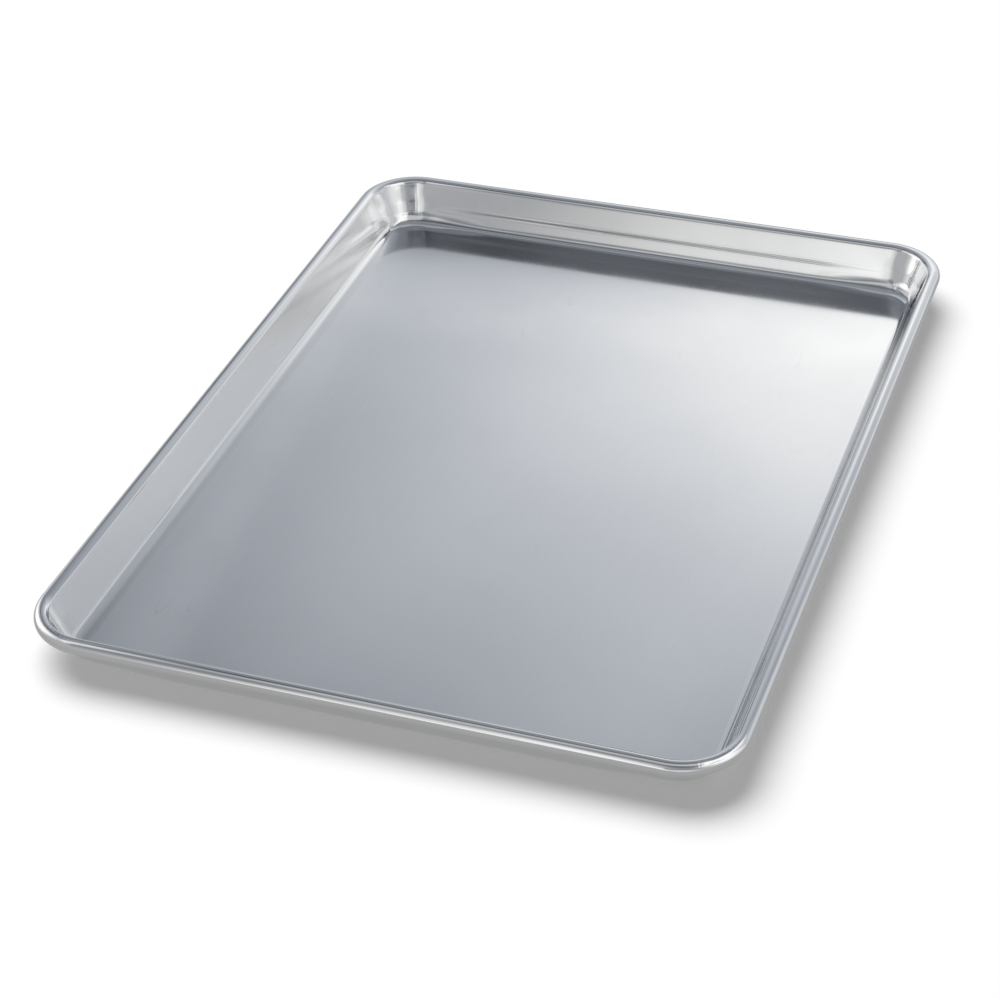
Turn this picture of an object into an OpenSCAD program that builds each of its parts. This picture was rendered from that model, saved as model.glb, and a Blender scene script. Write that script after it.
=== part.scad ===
// Jelly roll pan. One sheet is drawn into a shallow tray with leaning walls and round corners,
// and its edge is rolled around a steel rod that runs all the way round the rim.
// +X runs across the pan, +Y along it and +Z up. The origin is under the middle of the floor.

/* [Pan] */
// Width over the rolled rim
pan_w = 326; // [180:1:460]
// Length over the rolled rim
pan_l = 447; // [200:1:680]
// Height from the table to the top of the rim
pan_h = 23.6; // [18:0.2:60]
// Radius of the flat floor's corners, seen from above
floor_corner_r = 12.4; // [4:0.2:40]

/* [Sheet] */
// Thickness of the sheet
sheet_t = 0.7; // [0.4:0.1:1.2]
// How far the walls lean out from upright, in degrees
wall_lean = 20; // [5:1:40]
// Inner radius of the bend from the floor to a wall
floor_bend_r = 5; // [1:0.5:10]

/* [Rolled rim] */
// Diameter of the rod inside the rim
rod_d = 5.6; // [3:0.1:8]
// Free space all round the rod
rod_clearance = 0.1; // [0.05:0.05:0.3]
// Gap between the sheet's rolled edge and the wall behind it
curl_gap = 0.4; // [0.2:0.1:1]
// Gap where the two ends of the rod meet, in the middle of a long side
rod_end_gap = 1.5; // [0.5:0.5:6]

/* [Hidden] */

// Steps of the round stretches in the sheet's section
arc_step = 12;
SHEET_COLOUR = [0.80, 0.81, 0.83];
ROD_COLOUR = [0.45, 0.46, 0.48];

// The section lies with its first axis outward from a corner's upright axis and its second axis up.
// The wall's inner face looks inward and up along wall_face.
wall_face = [-cos(wall_lean), sin(wall_lean)];
wall_up = [sin(wall_lean), cos(wall_lean)];
roll_r = rod_d / 2 + rod_clearance + sheet_t;
bend_centre = [floor_corner_r, sheet_t + floor_bend_r];
wall_foot = bend_centre - floor_bend_r * wall_face;
roll_z = pan_h - roll_r;
wall_slant = (roll_z + roll_r * wall_face[1] - wall_foot[1]) / wall_up[1];
roll_centre = wall_foot + wall_slant * wall_up - roll_r * wall_face;
rim_corner_r = roll_centre[0] + roll_r;

// Angles round the roll, from the outward axis: where the wall meets it, and where the rolled edge ends
roll_start = 180 - wall_lean;
roll_end = roll_start - 360 + acos((roll_r - sheet_t - curl_gap) / roll_r);

// Upright axes of the four corners
axis_x = pan_w / 2 - rim_corner_r;
axis_y = pan_l / 2 - rim_corner_r;

// Points of an arc, both ends included
function arc(centre, r, from, to) =
    let (steps = ceil(abs(to - from) / arc_step))
    [for (i = [0:steps]) let (a = from + (to - from) * i / steps) centre + r * [cos(a), sin(a)]];

// The sheet cut through: half of the floor, the bend, the leaning wall and the roll
module sheet_section() {
    polygon(concat(
        [[0, 0]],
        arc(bend_centre, floor_bend_r + sheet_t, -90, -wall_lean),
        arc(roll_centre, roll_r - sheet_t, roll_start, roll_end),
        arc(roll_centre, roll_r, roll_end, roll_start),
        arc(bend_centre, floor_bend_r, -wall_lean, -90),
        [[0, sheet_t]]
    ));
}

// Carries a section once round the pan: straight along each side and turned about each corner's axis
module around_the_pan() {
    for (side = [0:3]) {
        out = side % 2 == 0 ? axis_x : axis_y;
        half_run = side % 2 == 0 ? axis_y : axis_x;
        rotate([0, 0, 90 * side]) translate([out, half_run, 0]) {
            rotate([90, 0, 0]) linear_extrude(2 * half_run) children();
            rotate_extrude(angle = 90, $fn = 96) children();
        }
    }
}

module pan_shell() {
    color(SHEET_COLOUR) union() {
        around_the_pan() sheet_section();
        translate([-axis_x, -axis_y, 0]) cube([2 * axis_x, 2 * axis_y, sheet_t]);
    }
}

module rim_rod() {
    color(ROD_COLOUR) difference() {
        around_the_pan() translate(roll_centre) circle(d = rod_d, $fn = 48);
        translate([axis_x + roll_centre[0], 0, roll_z])
            cube([2 * rod_d, rod_end_gap, 2 * rod_d], center = true);
    }
}

pan_shell();
rim_rod();
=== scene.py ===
import math

import bpy
from mathutils import Euler, Matrix, Vector


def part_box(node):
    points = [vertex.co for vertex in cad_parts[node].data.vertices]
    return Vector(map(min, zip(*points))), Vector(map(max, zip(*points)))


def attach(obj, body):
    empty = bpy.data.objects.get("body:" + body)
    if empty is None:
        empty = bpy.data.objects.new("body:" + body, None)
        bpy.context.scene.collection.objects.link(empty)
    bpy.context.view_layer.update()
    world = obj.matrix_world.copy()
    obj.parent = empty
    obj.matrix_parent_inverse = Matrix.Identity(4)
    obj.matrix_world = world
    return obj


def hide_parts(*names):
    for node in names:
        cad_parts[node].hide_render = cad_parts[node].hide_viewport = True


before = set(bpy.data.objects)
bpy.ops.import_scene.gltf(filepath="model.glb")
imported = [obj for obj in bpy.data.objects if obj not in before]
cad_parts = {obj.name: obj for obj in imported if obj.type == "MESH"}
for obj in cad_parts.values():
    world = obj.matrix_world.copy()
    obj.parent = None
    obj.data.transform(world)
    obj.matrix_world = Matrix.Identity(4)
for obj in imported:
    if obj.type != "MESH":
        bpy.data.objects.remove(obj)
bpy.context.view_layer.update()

# The camera.
# It stands in front of the pan, a little to its right and well above it, and looks down across
# the pan with a long lens.
camera_data = bpy.data.cameras.new("Camera")
camera_data.lens = 92.74
camera_data.sensor_width = 36.0
camera_data.clip_start = 0.05
camera_data.clip_end = 60.0
camera = bpy.data.objects.new("Camera", camera_data)
camera.location = (0.3475, -0.9829, 0.7100)
camera.rotation_euler = Euler((math.radians(54.884), math.radians(1.574), math.radians(19.144)))
bpy.context.scene.collection.objects.link(camera)
bpy.context.scene.camera = camera

# The pan's sheet.
# One sheet of bright steel, 0.7 mm thick, drawn into a shallow tray: flat floor, leaning walls
# and round corners in one piece. Its edge is rolled outward round a steel rod.
rim_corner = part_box("pan_shell")[1]
half_w = rim_corner.x
half_l = rim_corner.y
rim_top = rim_corner.z
sheet_thickness = 0.0007
floor_corner = 0.0124
bend_radius = 0.005
wall_lean = math.radians(20)
roll_radius = 0.0036
curl_gap = 0.0004

# The section, seen with its first axis outward from a corner's upright axis and its second axis
# up: the wall's foot, its length up the slant, and the middle of the roll.
bend_angle = math.pi / 2 - wall_lean
foot = Vector((
    floor_corner + bend_radius * math.cos(wall_lean),
    sheet_thickness + bend_radius * (1 - math.sin(wall_lean)),
))
roll_height = rim_top - roll_radius
slant = (roll_height + roll_radius * math.sin(wall_lean) - foot.y) / math.cos(wall_lean)
roll_out = foot.x + slant * math.sin(wall_lean) + roll_radius * math.cos(wall_lean)
axis_x = half_w - roll_out - roll_radius
axis_y = half_l - roll_out - roll_radius
roll_turn = 2 * math.pi - math.acos((roll_radius - sheet_thickness - curl_gap) / roll_radius)

BEND_STEPS = 16
ROLL_STEPS = 60
CORNER_STEPS = 36
SIDE_STEPS = 12
NEAR = 1e-6


def pick(obj, test):
    """Selects in edit mode the vertices that pass the test, and nothing else."""
    bpy.ops.object.mode_set(mode="OBJECT")
    for part in (obj.data.vertices, obj.data.edges, obj.data.polygons):
        for one in part:
            one.select = False
    for vertex in obj.data.vertices:
        vertex.select = test(vertex.co)
    bpy.ops.object.mode_set(mode="EDIT")
    bpy.ops.mesh.select_mode(type="VERT")


def pull(x=0.0, y=0.0, z=0.0):
    """Extrudes what is selected by a straight move."""
    bpy.ops.mesh.extrude_region_move(TRANSFORM_OT_translate={"value": (x, y, z)})


bpy.ops.object.select_all(action="DESELECT")
bpy.ops.mesh.primitive_plane_add(size=0.001, location=(0, 0, 0))
pan = bpy.context.active_object
pan.name = "pan_sheet"
bpy.ops.object.mode_set(mode="EDIT")
bpy.ops.mesh.merge(type="CENTER")
bpy.ops.transform.translate(value=(axis_x, axis_y, sheet_thickness))

# Along the section: the flat, the bend, the leaning wall and the roll. The stretches on both sides
# of the bend, which are shaped further on, get many short steps.
FLOOR_STEPS = 8
WALL_STEPS = 44
UPPER_STEPS = 8
floor_shaped = 0.0040
wall_shaped = 0.0094
pull(x=floor_corner - floor_shaped)
for step in range(FLOOR_STEPS):
    pull(x=floor_shaped / FLOOR_STEPS)
bend_middle = (axis_x + floor_corner, axis_y, sheet_thickness + bend_radius)
bpy.ops.mesh.spin(steps=BEND_STEPS, angle=bend_angle, center=bend_middle, axis=(0, 1, 0))
lower_climbs = [wall_shaped / WALL_STEPS] * WALL_STEPS
upper_climbs = [(slant - wall_shaped) / UPPER_STEPS] * UPPER_STEPS
for climb in lower_climbs + upper_climbs:
    pull(x=climb * math.sin(wall_lean), z=climb * math.cos(wall_lean))
roll_middle = (axis_x + roll_out, axis_y, roll_height)
bpy.ops.mesh.spin(steps=ROLL_STEPS, angle=-roll_turn, center=roll_middle, axis=(0, 1, 0))

# The corner is the section turned about an upright axis, and the sides are the same section
# drawn out straight to the middle of each side.
bpy.ops.mesh.select_all(action="SELECT")
bpy.ops.mesh.spin(steps=CORNER_STEPS, angle=-math.pi / 2, center=(axis_x, axis_y, 0), axis=(0, 0, 1))
corner_run = 0.044


def steps_to_middle(length):
    """Short steps near the corner and longer ones to the middle of a side."""
    longer_steps = SIDE_STEPS // 2
    return [corner_run / SIDE_STEPS] * SIDE_STEPS + [(length - corner_run) / longer_steps] * longer_steps


pick(pan, lambda p: abs(p.y - axis_y) < NEAR and p.x > axis_x - NEAR)
for step in steps_to_middle(axis_y):
    pull(y=-step)
pick(pan, lambda p: abs(p.x - axis_x) < NEAR and p.y > axis_y - NEAR)
for step in steps_to_middle(axis_x):
    pull(x=-step)
pick(pan, lambda p: abs(p.x - axis_x) < NEAR and p.y < axis_y + NEAR)
for step in steps_to_middle(axis_x):
    pull(x=-step)
bpy.ops.mesh.select_all(action="SELECT")
bpy.ops.mesh.remove_doubles(threshold=2 * NEAR)
bpy.ops.object.mode_set(mode="OBJECT")


def finish(obj, kind, **settings):
    """Adds a modifier and applies it."""
    modifier = obj.modifiers.new(kind.title(), kind)
    for name, value in settings.items():
        setattr(modifier, name, value)
    bpy.ops.object.select_all(action="DESELECT")
    obj.select_set(True)
    bpy.context.view_layer.objects.active = obj
    bpy.ops.object.modifier_apply(modifier=modifier.name)


# The other three quarters are mirror images of this one, joined along the middle lines.
# An object's place goes into its mesh, so the mirror planes are those of the pan.
bpy.ops.object.transform_apply(location=True, rotation=True, scale=True)
finish(pan, "MIRROR", use_axis=(True, True, False), use_mirror_merge=True, merge_threshold=NEAR)
bpy.ops.object.mode_set(mode="EDIT")
bpy.ops.mesh.select_all(action="SELECT")
bpy.ops.mesh.remove_doubles(threshold=2 * NEAR)
bpy.ops.mesh.normals_make_consistent(inside=False)
bpy.ops.object.mode_set(mode="OBJECT")
middle = min(pan.data.polygons, key=lambda face: face.center.length)
if middle.normal.z < 0:
    pan.data.flip_normals()


def smooth(value):
    """Goes smoothly from 0 to 1 with the value."""
    value = min(max(value, 0), 1)
    return value * value * (3 - 2 * value)


# The die leaves two shallow lines low on each short wall, which fade out before the corners. They
# are first pressed towards the inside of the pan and then towards the outside.
line_up = 0.0061
line_reach = 0.0030
line_apart = 0.0021
line_depth = 0.000045
line_end = 0.040
for pressed, sign in (("pressed_in", 1), ("pressed_out", -1)):
    group = pan.vertex_groups.new(name=pressed)
    for vertex in pan.data.vertices:
        p = vertex.co
        up = (p.z - foot.y) / math.cos(wall_lean) - line_up
        if abs(p.x) < axis_x and abs(p.y) > axis_y + foot.x and abs(up) < line_reach:
            swell = math.sin(math.tau * up / line_apart) * math.exp(-(2 * up / line_reach) ** 2)
            swell *= smooth((axis_x - abs(p.x)) / line_end)
            group.add([vertex.index], max(sign * swell, 0), "REPLACE")
    finish(pan, "DISPLACE", mid_level=0, strength=-sign * line_depth, vertex_group=pressed)

# Where the sheet is gathered round a corner, the bend from the floor to the wall is wider than
# along the sides. It widens as the sheet turns away from a long wall, and narrows again slowly
# along the short one.
corner_bend = 0.010
wider = corner_bend - bend_radius
widening_turn = math.radians(55)
bend_centre = Vector((floor_corner, sheet_thickness + bend_radius))
wider_centre = bend_centre + wider * Vector((-math.tan(bend_angle / 2), 1))


def raised(out, up):
    """How far the wider bend lies inside the narrow one, at a point of the section."""
    from_centre = Vector((out, up)) - bend_centre
    turn = min(max(math.atan2(from_centre.x, -from_centre.y), 0), bend_angle)
    inward = Vector((-math.sin(turn), math.cos(turn)))
    away = Vector((out, up)) - wider_centre
    if not 0 < math.atan2(away.x, -away.y) < bend_angle:
        return 0
    middle = away.dot(inward)
    return -middle - math.sqrt(max(middle ** 2 - away.length_squared + corner_bend ** 2, 0))


# The walls don't turn from straight to round at once: that takes some millimetres on both sides
# of each corner's ends. It starts at the floor and ends below the roll.
blend_reach = 0.006
blend_depth = 0.00030
blend_from_floor = 0.003
blend_below_roll = 0.010
wall_top = foot + slant * Vector((math.sin(wall_lean), math.cos(wall_lean)))
most_inward = wider * (1 / math.cos(bend_angle / 2) - 1) + blend_depth
group = pan.vertex_groups.new(name="drawn_inward")
for vertex in pan.data.vertices:
    p = vertex.co
    out_x, out_y = abs(p.x) - axis_x, abs(p.y) - axis_y
    out = math.hypot(max(out_x, 0), max(out_y, 0))
    if not floor_corner - floor_shaped < out < wall_top.x - NEAR:
        continue
    past_corner = max(-out_x, -out_y, 0)
    turned = math.atan2(max(out_y, 0), max(out_x, 0))
    inward = raised(out, p.z) * smooth(turned / widening_turn) * (1 - smooth(-out_x / corner_run))
    from_end = -past_corner or out * min(math.atan2(out_y, out_x), math.atan2(out_x, out_y))
    short_of = max(1 - abs(from_end) / blend_reach, 0) ** 3 / 2
    blended = short_of if from_end < 0 else 1 - short_of
    above_floor = smooth((p.z - sheet_thickness) / blend_from_floor)
    below_roll = smooth((wall_top.y - p.z) / blend_below_roll)
    inward += blend_depth * blended * above_floor * below_roll
    group.add([vertex.index], inward / most_inward, "REPLACE")
finish(pan, "DISPLACE", mid_level=0, strength=most_inward, vertex_group="drawn_inward")

# The sheet gets its thickness on the outer side, and only the rolled edge's two rims stay sharp.
finish(pan, "SOLIDIFY", thickness=sheet_thickness, offset=-1, use_even_offset=True, use_quality_normals=True)
bpy.ops.object.shade_smooth_by_angle(angle=math.radians(40))


def put(tree, kind, inputs=None, **settings):
    """Adds a node. Each of its inputs is a plain value or another node's output."""
    made = tree.nodes.new(kind)
    for name, value in settings.items():
        setattr(made, name, value)
    for key, value in (inputs or {}).items():
        if isinstance(value, bpy.types.NodeSocket):
            tree.links.new(value, made.inputs[key])
        else:
            made.inputs[key].default_value = value
    return made


def calc(tree, operation, *terms):
    """The result of a sum on plain values or other nodes' outputs."""
    return put(tree, "ShaderNodeMath", dict(enumerate(terms)), operation=operation).outputs[0]


def scaled(tree, colour, amount):
    """A colour or direction times a number."""
    return put(tree, "ShaderNodeVectorMath", {0: colour, "Scale": amount}, operation="SCALE").outputs[0]


def own_place(tree):
    """Where the shaded point is, in metres on the pan's own axes."""
    return put(tree, "ShaderNodeTexCoord").outputs["Object"]


def ramp(tree, value, low, high, to_low=0.0, to_high=1.0):
    """Goes smoothly from to_low to to_high while the value goes from low to high."""
    inputs = {"Value": value, "From Min": low, "From Max": high, "To Min": to_low, "To Max": to_high}
    return put(tree, "ShaderNodeMapRange", inputs, interpolation_type="SMOOTHSTEP").outputs[0]


def clouds(tree, along, across, up, scale, detail=2.0):
    """A noise from 0 to 1 on three coordinates, each with its own scale."""
    parts = [calc(tree, "MULTIPLY", part, times) for part, times in zip((along, across, up), scale)]
    place = put(tree, "ShaderNodeCombineXYZ", dict(enumerate(parts))).outputs[0]
    return put(tree, "ShaderNodeTexNoise", {"Vector": place, "Scale": 1.0, "Detail": detail}).outputs[0]


def new_group(name, wanted, given):
    """An empty node group with number inputs and outputs. Returns it, its inputs and its last node."""
    group = bpy.data.node_groups.new(name, "ShaderNodeTree")
    for socket, value in wanted.items():
        made = group.interface.new_socket(socket, in_out="INPUT", socket_type="NodeSocketFloat")
        made.default_value = value
    for socket in given:
        group.interface.new_socket(socket, in_out="OUTPUT", socket_type="NodeSocketFloat")
    return group, group.nodes.new("NodeGroupInput").outputs, group.nodes.new("NodeGroupOutput").inputs


# Where a point lies on the pan: how far out from the corners' axes, how high, how far along the
# sides, which way round a corner, and whether it is in a corner at all.
pan_layout, wanted, given = new_group(
    "pan_layout", {"Axis X": axis_x, "Axis Y": axis_y}, ("Reach", "Height", "Along", "Turn", "Corner")
)
place = put(pan_layout, "ShaderNodeSeparateXYZ", {0: own_place(pan_layout)}).outputs
past = []
for i in (0, 1):
    beyond = calc(pan_layout, "SUBTRACT", calc(pan_layout, "ABSOLUTE", place[i]), wanted[i])
    past.append(calc(pan_layout, "MAXIMUM", beyond, 0.0))
squares = [calc(pan_layout, "MULTIPLY", part, part) for part in past]
turn = calc(pan_layout, "ARCTAN2", past[1], past[0])
found = {
    "Reach": calc(pan_layout, "SQRT", calc(pan_layout, "ADD", *squares)),
    "Height": place[2],
    "Along": calc(pan_layout, "ADD", place[0], place[1]),
    "Turn": turn,
    "Corner": ramp(pan_layout, calc(pan_layout, "SINE", calc(pan_layout, "MULTIPLY", turn, 2.0)), 0.0, 0.5),
}
for socket, result in found.items():
    pan_layout.links.new(result, given[socket])

# Grain that rolling or drawing leaves in steel: hair lines that run along one direction.
drawn_grain, wanted, given = new_group(
    "drawn_grain", {"Along": 0.0, "Across": 0.0, "Up": 0.0, "Lines per metre": 2500.0}, ("Grain",)
)
times = wanted["Lines per metre"]
width_over_length = 0.02
shorter = calc(drawn_grain, "MULTIPLY", times, width_over_length)
fine = clouds(drawn_grain, wanted["Along"], wanted["Across"], wanted["Up"], (shorter, times, times))
drawn_grain.links.new(calc(drawn_grain, "SUBTRACT", fine, 0.5), given["Grain"])

# Smears and handling marks: soft patches and a few hair scratches that only change the gloss.
handling, wanted, given = new_group(
    "handling", {"Patch size": 0.06, "Scratches": 1.0}, ("Patches", "Scratches")
)
where = own_place(handling)
smear = {"Vector": where, "Detail": 4.0, "Roughness": 0.55, "Distortion": 0.4}
smear["Scale"] = calc(handling, "DIVIDE", 1.0, wanted["Patch size"])
patches = put(handling, "ShaderNodeTexNoise", smear).outputs[0]
handling.links.new(ramp(handling, patches, 0.35, 0.7), given["Patches"])
scratch_stretch = (1.0, 0.08, 1.0)
scratch_width = 0.0018
lines = []
for spin, density in ((0.4, 34.0), (-0.9, 27.0)):
    mapping = {"Vector": where, "Rotation": (0.0, 0.0, spin), "Scale": scratch_stretch}
    turned = put(handling, "ShaderNodeMapping", mapping).outputs[0]
    level = put(handling, "ShaderNodeTexNoise", {"Vector": turned, "Scale": density, "Detail": 2.0}).outputs[0]
    distance = calc(handling, "ABSOLUTE", calc(handling, "SUBTRACT", level, 0.5))
    lines.append(ramp(handling, distance, 0.0, scratch_width, 1.0, 0.0))
gaps = put(handling, "ShaderNodeTexNoise", {"Vector": where, "Scale": 55.0}).outputs[0]
broken = ramp(handling, gaps, 0.52, 0.62)
either = calc(handling, "MULTIPLY", calc(handling, "MAXIMUM", *lines), broken)
handling.links.new(calc(handling, "MULTIPLY", either, wanted["Scratches"]), given["Scratches"])

steel = bpy.data.materials.new("bright_sheet_steel")
steel.use_nodes = True
tree = steel.node_tree
layout = put(tree, "ShaderNodeGroup", node_tree=pan_layout).outputs
spot = put(tree, "ShaderNodeSeparateXYZ", {0: own_place(tree)}).outputs

# The sheet was rolled along its length, so its hair lines run along the floor and the long walls
# and straight up the short ones.
on_long_wall = calc(tree, "POWER", calc(tree, "COSINE", layout["Turn"]), 2.0)
up_long_wall = calc(tree, "MULTIPLY", spot[2], on_long_wall)
directions = {"Along": spot[1], "Across": spot[0], "Up": up_long_wall}
grain = put(tree, "ShaderNodeGroup", directions, node_tree=drawn_grain).outputs["Grain"]
marks = put(tree, "ShaderNodeGroup", node_tree=handling).outputs
patches, scratches = marks["Patches"], marks["Scratches"]
on_wall = ramp(tree, layout["Height"], 0.002, 0.005)

# Drawing marks: faint lines along the walls, and steeper ones up the corners where the sheet
# was gathered in. The whole sheet is very slightly wavy. Depths are in metres.
side_line_depth = 0.000004
corner_line_depth = 0.000070
wave_depth = 0.00012
grain_depth = 0.0000002
side_lines = clouds(tree, layout["Along"], layout["Reach"], layout["Height"], (9.0, 420.0, 420.0), 3.0)
corner_lines = clouds(tree, layout["Turn"], layout["Reach"], layout["Height"], (16.0, 45.0, 45.0), 3.0)
waves = clouds(tree, spot[0], spot[1], spot[2], (14.0, 11.0, 14.0), 1.0)
on_corner = calc(tree, "MULTIPLY", layout["Corner"], on_wall)
heights = (
    (side_lines, calc(tree, "MULTIPLY", on_wall, side_line_depth)),
    (corner_lines, calc(tree, "MULTIPLY", on_corner, corner_line_depth)),
    (waves, wave_depth),
    (grain, grain_depth),
)
height = 0.0
for pattern, depth in heights:
    height = calc(tree, "ADD", height, calc(tree, "MULTIPLY", pattern, depth))
bump = put(tree, "ShaderNodeBump", {"Strength": 1.0, "Distance": 1.0, "Height": height})

# The finish is almost a mirror. Marks make it duller, and most of all the rubbing of racks and
# worktops on the underside.
mirror_finish = 0.055
underside_rubbed = 0.16
rubbed = ramp(tree, spot[2], 0.0009, 0.0, 0.0, underside_rubbed)
dulling = ((patches, 0.035), (scratches, 0.10), (grain, 0.05), (side_lines, 0.03), (rubbed, 1.0))
roughness = mirror_finish
for pattern, amount in dulling:
    roughness = calc(tree, "ADD", roughness, calc(tree, "MULTIPLY", pattern, amount))
shade = calc(tree, "ADD", 0.985, calc(tree, "MULTIPLY", grain, 0.05))
shade = calc(tree, "SUBTRACT", shade, calc(tree, "MULTIPLY", patches, 0.015))

# Along the die lines of the short walls the steel's colour is painted about a third darker. This painted dark
# reflection stands in for the dark surroundings that these lines mirror, and the floor mirrors the painted
# line too.
line_height = foot.y + line_up * math.cos(wall_lean)
painted_line_width = 0.0008
painted_line_darkness = 0.35
off_line = calc(tree, "DIVIDE", calc(tree, "SUBTRACT", spot[2], line_height), painted_line_width)
painted_dark_line = calc(tree, "EXPONENT", calc(tree, "MULTIPLY", calc(tree, "MULTIPLY", off_line, off_line), -1.0))
painted_dark_line = calc(tree, "MULTIPLY", painted_dark_line, ramp(tree, layout["Turn"], 0.5, 1.0))
from_middle = calc(tree, "ABSOLUTE", spot[0])
before_corner = ramp(tree, from_middle, axis_x - line_end, axis_x - 0.2 * line_end, 1.0, 0.0)
painted_dark_line = calc(tree, "MULTIPLY", painted_dark_line, before_corner)
after_painted_line = calc(tree, "SUBTRACT", 1.0, calc(tree, "MULTIPLY", painted_dark_line, painted_line_darkness))
# The painted dark reflection of the die lines goes into the steel's colour here.
shade = calc(tree, "MULTIPLY", shade, after_painted_line)
sheet_colour = (0.725, 0.728, 0.732)
bare = scaled(tree, sheet_colour, shade)
bsdf = tree.nodes["Principled BSDF"]
bsdf.inputs["Metallic"].default_value = 1.0
tree.links.new(bare, bsdf.inputs["Base Color"])
tree.links.new(roughness, bsdf.inputs["Roughness"])
tree.links.new(bump.outputs[0], bsdf.inputs["Normal"])
pan.data.materials.append(steel)
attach(pan, "root")
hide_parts("pan_shell")

# The rod.
# A round steel rod, 5.6 mm thick, bent into a loop inside the roll. Its bare drawn surface shows
# only through the slit under the roll's edge, and its two ends meet in the middle of a long side.
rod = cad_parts["rim_rod"]
wire = bpy.data.materials.new("drawn_rod_steel")
wire.use_nodes = True
tree = wire.node_tree
layout = put(tree, "ShaderNodeGroup", node_tree=pan_layout).outputs
directions = {"Along": layout["Along"], "Across": layout["Reach"], "Up": layout["Height"]}
directions["Lines per metre"] = 5000.0
grain = put(tree, "ShaderNodeGroup", directions, node_tree=drawn_grain).outputs["Grain"]
stains = put(tree, "ShaderNodeGroup", {"Patch size": 0.012}, node_tree=handling).outputs["Patches"]
drawn_finish = 0.34
dull = calc(tree, "ADD", drawn_finish, calc(tree, "MULTIPLY", stains, 0.14))
dull = calc(tree, "ADD", dull, calc(tree, "MULTIPLY", grain, 0.2))
rod_colour = (0.45, 0.46, 0.48)
stain_darker = 0.25
grey = scaled(tree, rod_colour, calc(tree, "SUBTRACT", 1.0, calc(tree, "MULTIPLY", stains, stain_darker)))
draw_line_depth = 0.00001
bump = put(tree, "ShaderNodeBump", {"Strength": 1.0, "Distance": draw_line_depth, "Height": grain})
bsdf = tree.nodes["Principled BSDF"]
bsdf.inputs["Metallic"].default_value = 1.0
tree.links.new(grey, bsdf.inputs["Base Color"])
tree.links.new(dull, bsdf.inputs["Roughness"])
tree.links.new(bump.outputs[0], bsdf.inputs["Normal"])
rod.data.materials.clear()
rod.data.materials.append(wire)

# The table.
# A plain white table. To the camera it is white apart from the pan's shadow, and the pan mirrors
# it as a light grey. Seen from below it lets the underside of the pan show, and it lies a hair
# lower so that the two don't share one plane.
hair = 0.0003
bpy.ops.object.select_all(action="DESELECT")
bpy.ops.mesh.primitive_plane_add(size=12, location=(0, 0, -hair))
table = bpy.context.active_object
table.name = "table"
paper = bpy.data.materials.new("white_table")
paper.use_nodes = True
tree = paper.node_tree
seen = put(tree, "ShaderNodeLightPath").outputs
table_white = 0.80
table_lift = 0.18
table_mirrored = 0.40
mirrored_white = 0.10
darker = calc(tree, "MULTIPLY", seen["Is Glossy Ray"], table_white - mirrored_white)
colour = calc(tree, "SUBTRACT", table_white, darker)
to_camera = calc(tree, "MULTIPLY", seen["Is Camera Ray"], table_lift)
to_mirror = calc(tree, "MULTIPLY", seen["Is Glossy Ray"], table_mirrored)
lift = calc(tree, "ADD", to_camera, to_mirror)
bsdf = tree.nodes["Principled BSDF"]
bsdf.inputs["Roughness"].default_value = 1.0
bsdf.inputs["Specular IOR Level"].default_value = 0.0
bsdf.inputs["Emission Color"].default_value = (1, 1, 1, 1)
whole = put(tree, "ShaderNodeCombineColor", {0: colour, 1: colour, 2: colour}).outputs[0]
tree.links.new(whole, bsdf.inputs["Base Color"])
tree.links.new(lift, bsdf.inputs["Emission Strength"])
clear = put(tree, "ShaderNodeBsdfTransparent")
side = put(tree, "ShaderNodeNewGeometry").outputs["Backfacing"]
both = put(tree, "ShaderNodeMixShader", {0: side, 1: bsdf.outputs[0], 2: clear.outputs[0]})
tree.links.new(both.outputs[0], tree.nodes["Material Output"].inputs["Surface"])
table.data.materials.append(paper)

# The light tent.
# Bright metal shows nothing but its surroundings, so the pan stands in a round tent of white
# cloth with soft lights and dark gaps in it. Only reflections see the tent.
tent_radius = 0.8
tent_level = 0.552
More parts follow.
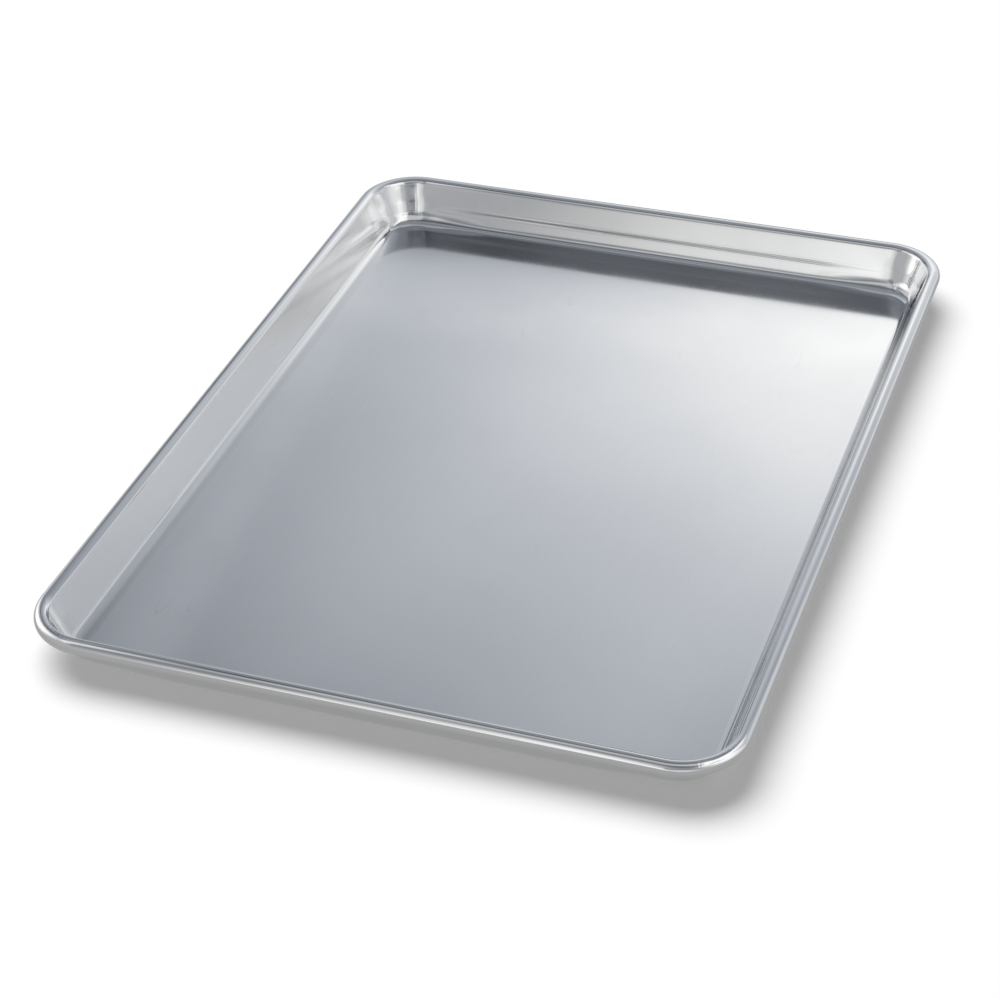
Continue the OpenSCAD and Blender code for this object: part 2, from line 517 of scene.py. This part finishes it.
# Azimuth from the pan's back towards its right side, elevation, half width, half height and tilt
# in degrees, and how much brighter or darker than the cloth.
tent_patches = (
    (-88.7, 13.3, 18.6, 38.1, 41.0, 0.94),
    (-1.3, 13.3, 14.2, 6.1, 32.7, -0.75),
    (-167.1, 2.0, 12.4, 6.7, -18.1, 0.71),
    (-37.6, 20.9, 50.0, 3.4, 15.3, -0.63),
    (-31.1, 23.2, 40.7, 2.5, 12.6, 0.62),
    (-123.2, 48.3, 6.1, 17.7, -39.5, 0.61),
    (115.6, 27.4, 22.4, 3.6, 11.8, 0.57),
    (44.2, 57.7, 3.5, 18.1, -42.7, -0.52),
    (75.0, 52.7, 20.0, 9.4, -1.7, 0.50),
    (115.3, 14.4, 18.0, 3.7, 5.2, 0.49),
    (135.4, 63.1, 50.0, 11.6, 28.3, 0.49),
    (101.5, 24.1, 33.1, 15.2, 29.2, 0.48),
    (122.6, 51.7, 5.1, 28.7, 26.8, 0.45),
    (-169.8, 18.4, 11.0, 9.9, -0.3, 0.42),
    (31.7, 33.3, 21.1, 17.5, 23.8, -0.41),
    (117.8, 50.2, 29.0, 2.5, -43.3, 0.39),
    (177.9, 2.0, 4.9, 32.4, -13.4, 0.38),
    (160.8, 5.5, 18.8, 7.3, -7.7, 0.38),
    (46.4, 49.1, 4.1, 8.2, -12.9, 0.36),
    (-65.1, 56.1, 34.3, 16.6, -0.5, -0.34),
    (43.4, 42.1, 50.0, 18.9, 19.0, 0.34),
    (160.3, 59.4, 23.6, 40.0, -20.7, -0.34),
    (-166.0, 14.6, 12.5, 3.5, -10.9, 0.34),
    (23.0, 11.6, 44.0, 15.2, -21.1, 0.34),
    (-49.7, 26.5, 11.6, 17.6, 41.9, -0.31),
    (175.5, 17.3, 32.9, 3.0, -4.1, -0.31),
    (-140.5, 44.3, 8.9, 39.9, -43.2, -0.24),
    (32.6, 69.6, 22.6, 26.8, -1.0, -0.23),
    (39.5, 51.0, 3.5, 24.6, -54.3, 0.22),
    (11.2, 21.1, 10.5, 2.5, -23.6, 0.22),
    (-27.3, 48.3, 50.0, 12.2, -37.3, 0.21),
    (44.1, 48.2, 3.5, 3.5, -17.7, 0.21),
    (58.5, 18.0, 9.4, 14.5, 41.8, 0.20),
    (-177.8, 10.0, 6.8, 3.4, 20.5, 0.20),
    (-106.2, 69.4, 9.5, 11.7, 31.1, -0.18),
    (-56.0, 43.7, 50.0, 2.9, -36.8, 0.16),
    (-54.8, 52.6, 24.6, 9.4, 34.7, -0.14),
    (9.2, 28.2, 50.0, 10.8, 1.2, 0.13),
)
bpy.ops.object.select_all(action="DESELECT")
bpy.ops.mesh.primitive_uv_sphere_add(segments=96, ring_count=48, radius=tent_radius, location=(0, 0, 0))
tent = bpy.context.active_object
tent.name = "light_tent"
cloth = bpy.data.materials.new("tent_cloth")
cloth.use_nodes = True
tree = cloth.node_tree
tree.nodes.clear()
outward = put(tree, "ShaderNodeVectorMath", {0: own_place(tree)}, operation="NORMALIZE").outputs[0]

# One patch: full in its middle and fading out round an ellipse, measured on the flat map on which
# circles on the tent stay circles.
tent_patch = bpy.data.node_groups.new("tent_patch", "ShaderNodeTree")
for name in ("Outward", "Centre", "Across", "Up"):
    tent_patch.interface.new_socket(name, in_out="INPUT", socket_type="NodeSocketVector")
for name in ("Half width", "Half height", "Brighter"):
    tent_patch.interface.new_socket(name, in_out="INPUT", socket_type="NodeSocketFloat")
tent_patch.interface.new_socket("Light", in_out="OUTPUT", socket_type="NodeSocketFloat")
wanted = tent_patch.nodes.new("NodeGroupInput").outputs
given = tent_patch.nodes.new("NodeGroupOutput").inputs
dots = []
for name in ("Centre", "Across", "Up"):
    pair = {0: wanted["Outward"], 1: wanted[name]}
    dots.append(put(tent_patch, "ShaderNodeVectorMath", pair, operation="DOT_PRODUCT").outputs["Value"])
spread = calc(tent_patch, "DIVIDE", 2.0, calc(tent_patch, "ADD", dots[0], 1.0005))
squares = []
for dot, name in zip(dots[1:], ("Half width", "Half height")):
    off = calc(tent_patch, "DIVIDE", calc(tent_patch, "MULTIPLY", dot, spread), wanted[name])
    squares.append(calc(tent_patch, "MULTIPLY", off, off))
far = calc(tent_patch, "ADD", *squares)
fade = calc(tent_patch, "EXPONENT", calc(tent_patch, "MULTIPLY", calc(tent_patch, "MULTIPLY", far, far), -1.0))
tent_patch.links.new(calc(tent_patch, "MULTIPLY", fade, wanted["Brighter"]), given["Light"])

light = tent_level
for azimuth, elevation, half_width, half_height, tilt, brighter in tent_patches:
    azimuth, elevation, tilt = math.radians(azimuth), math.radians(elevation), math.radians(tilt)
    facing = Matrix.Rotation(-azimuth, 3, "Z") @ Matrix.Rotation(elevation, 3, "X")
    inputs = {
        "Outward": outward,
        "Centre": facing @ Vector((0, 1, 0)),
        "Across": facing @ Vector((math.cos(tilt), 0, math.sin(tilt))),
        "Up": facing @ Vector((-math.sin(tilt), 0, math.cos(tilt))),
        "Half width": math.radians(half_width),
        "Half height": math.radians(half_height),
        "Brighter": brighter,
    }
    light = calc(tree, "ADD", light, put(tree, "ShaderNodeGroup", inputs, node_tree=tent_patch).outputs[0])
darkest = 0.01
light = calc(tree, "MAXIMUM", light, darkest)

# Dim cloth is a cool grey and bright cloth is white. Behind the pan the cloth has to be brighter
# than in front of it to be white.
cool_cloth = (0.90, 1.005, 1.18, 1)
white_cloth = (1, 1, 1, 1)
behind = put(tree, "ShaderNodeSeparateXYZ", {0: outward}).outputs["Y"]
white_from = ramp(tree, behind, -0.2, 0.7, 0.65, 1.2)
white = calc(tree, "MINIMUM", calc(tree, "DIVIDE", light, white_from), 1.0)
hue = put(tree, "ShaderNodeMix", {0: white, 6: cool_cloth, 7: white_cloth}, data_type="RGBA").outputs[2]
glow = put(tree, "ShaderNodeEmission", {"Color": scaled(tree, hue, light), "Strength": 1.0})
put(tree, "ShaderNodeOutputMaterial", {"Surface": glow.outputs[0]})
tent.data.materials.append(cloth)
cloth.cycles.emission_sampling = "NONE"
tent.visible_camera = False
tent.visible_diffuse = False
tent.visible_transmission = False
tent.visible_shadow = False

# The lamps.
# One wide soft lamp behind the pan to the left throws its shadow to the front and right, and an
# even sky fills the shadow. The lamp is left out of reflections, which the tent makes.
lamp_azimuth = math.radians(-57)
lamp_elevation = math.radians(66)
key = bpy.data.lights.new("key", "SUN")
key.angle = math.radians(50)
key.energy = 2.72
lamp = bpy.data.objects.new("key", key)
lamp.rotation_euler = Euler((math.pi / 2 - lamp_elevation, 0, math.pi - lamp_azimuth))
lamp.visible_glossy = False
bpy.context.scene.collection.objects.link(lamp)
world = bpy.data.worlds.new("studio")
world.use_nodes = True
tree = world.node_tree
seen = put(tree, "ShaderNodeLightPath").outputs
sky_level = 0.24
clear_view = calc(tree, "MAXIMUM", seen["Is Camera Ray"], seen["Is Transmission Ray"])
background = tree.nodes["Background"]
background.inputs["Color"].default_value = (1, 1, 1, 1)
tree.links.new(ramp(tree, clear_view, 0.0, 1.0, sky_level, 1.0), background.inputs["Strength"])
bpy.context.scene.world = world
bpy.context.scene.view_settings.view_transform = "Standard"
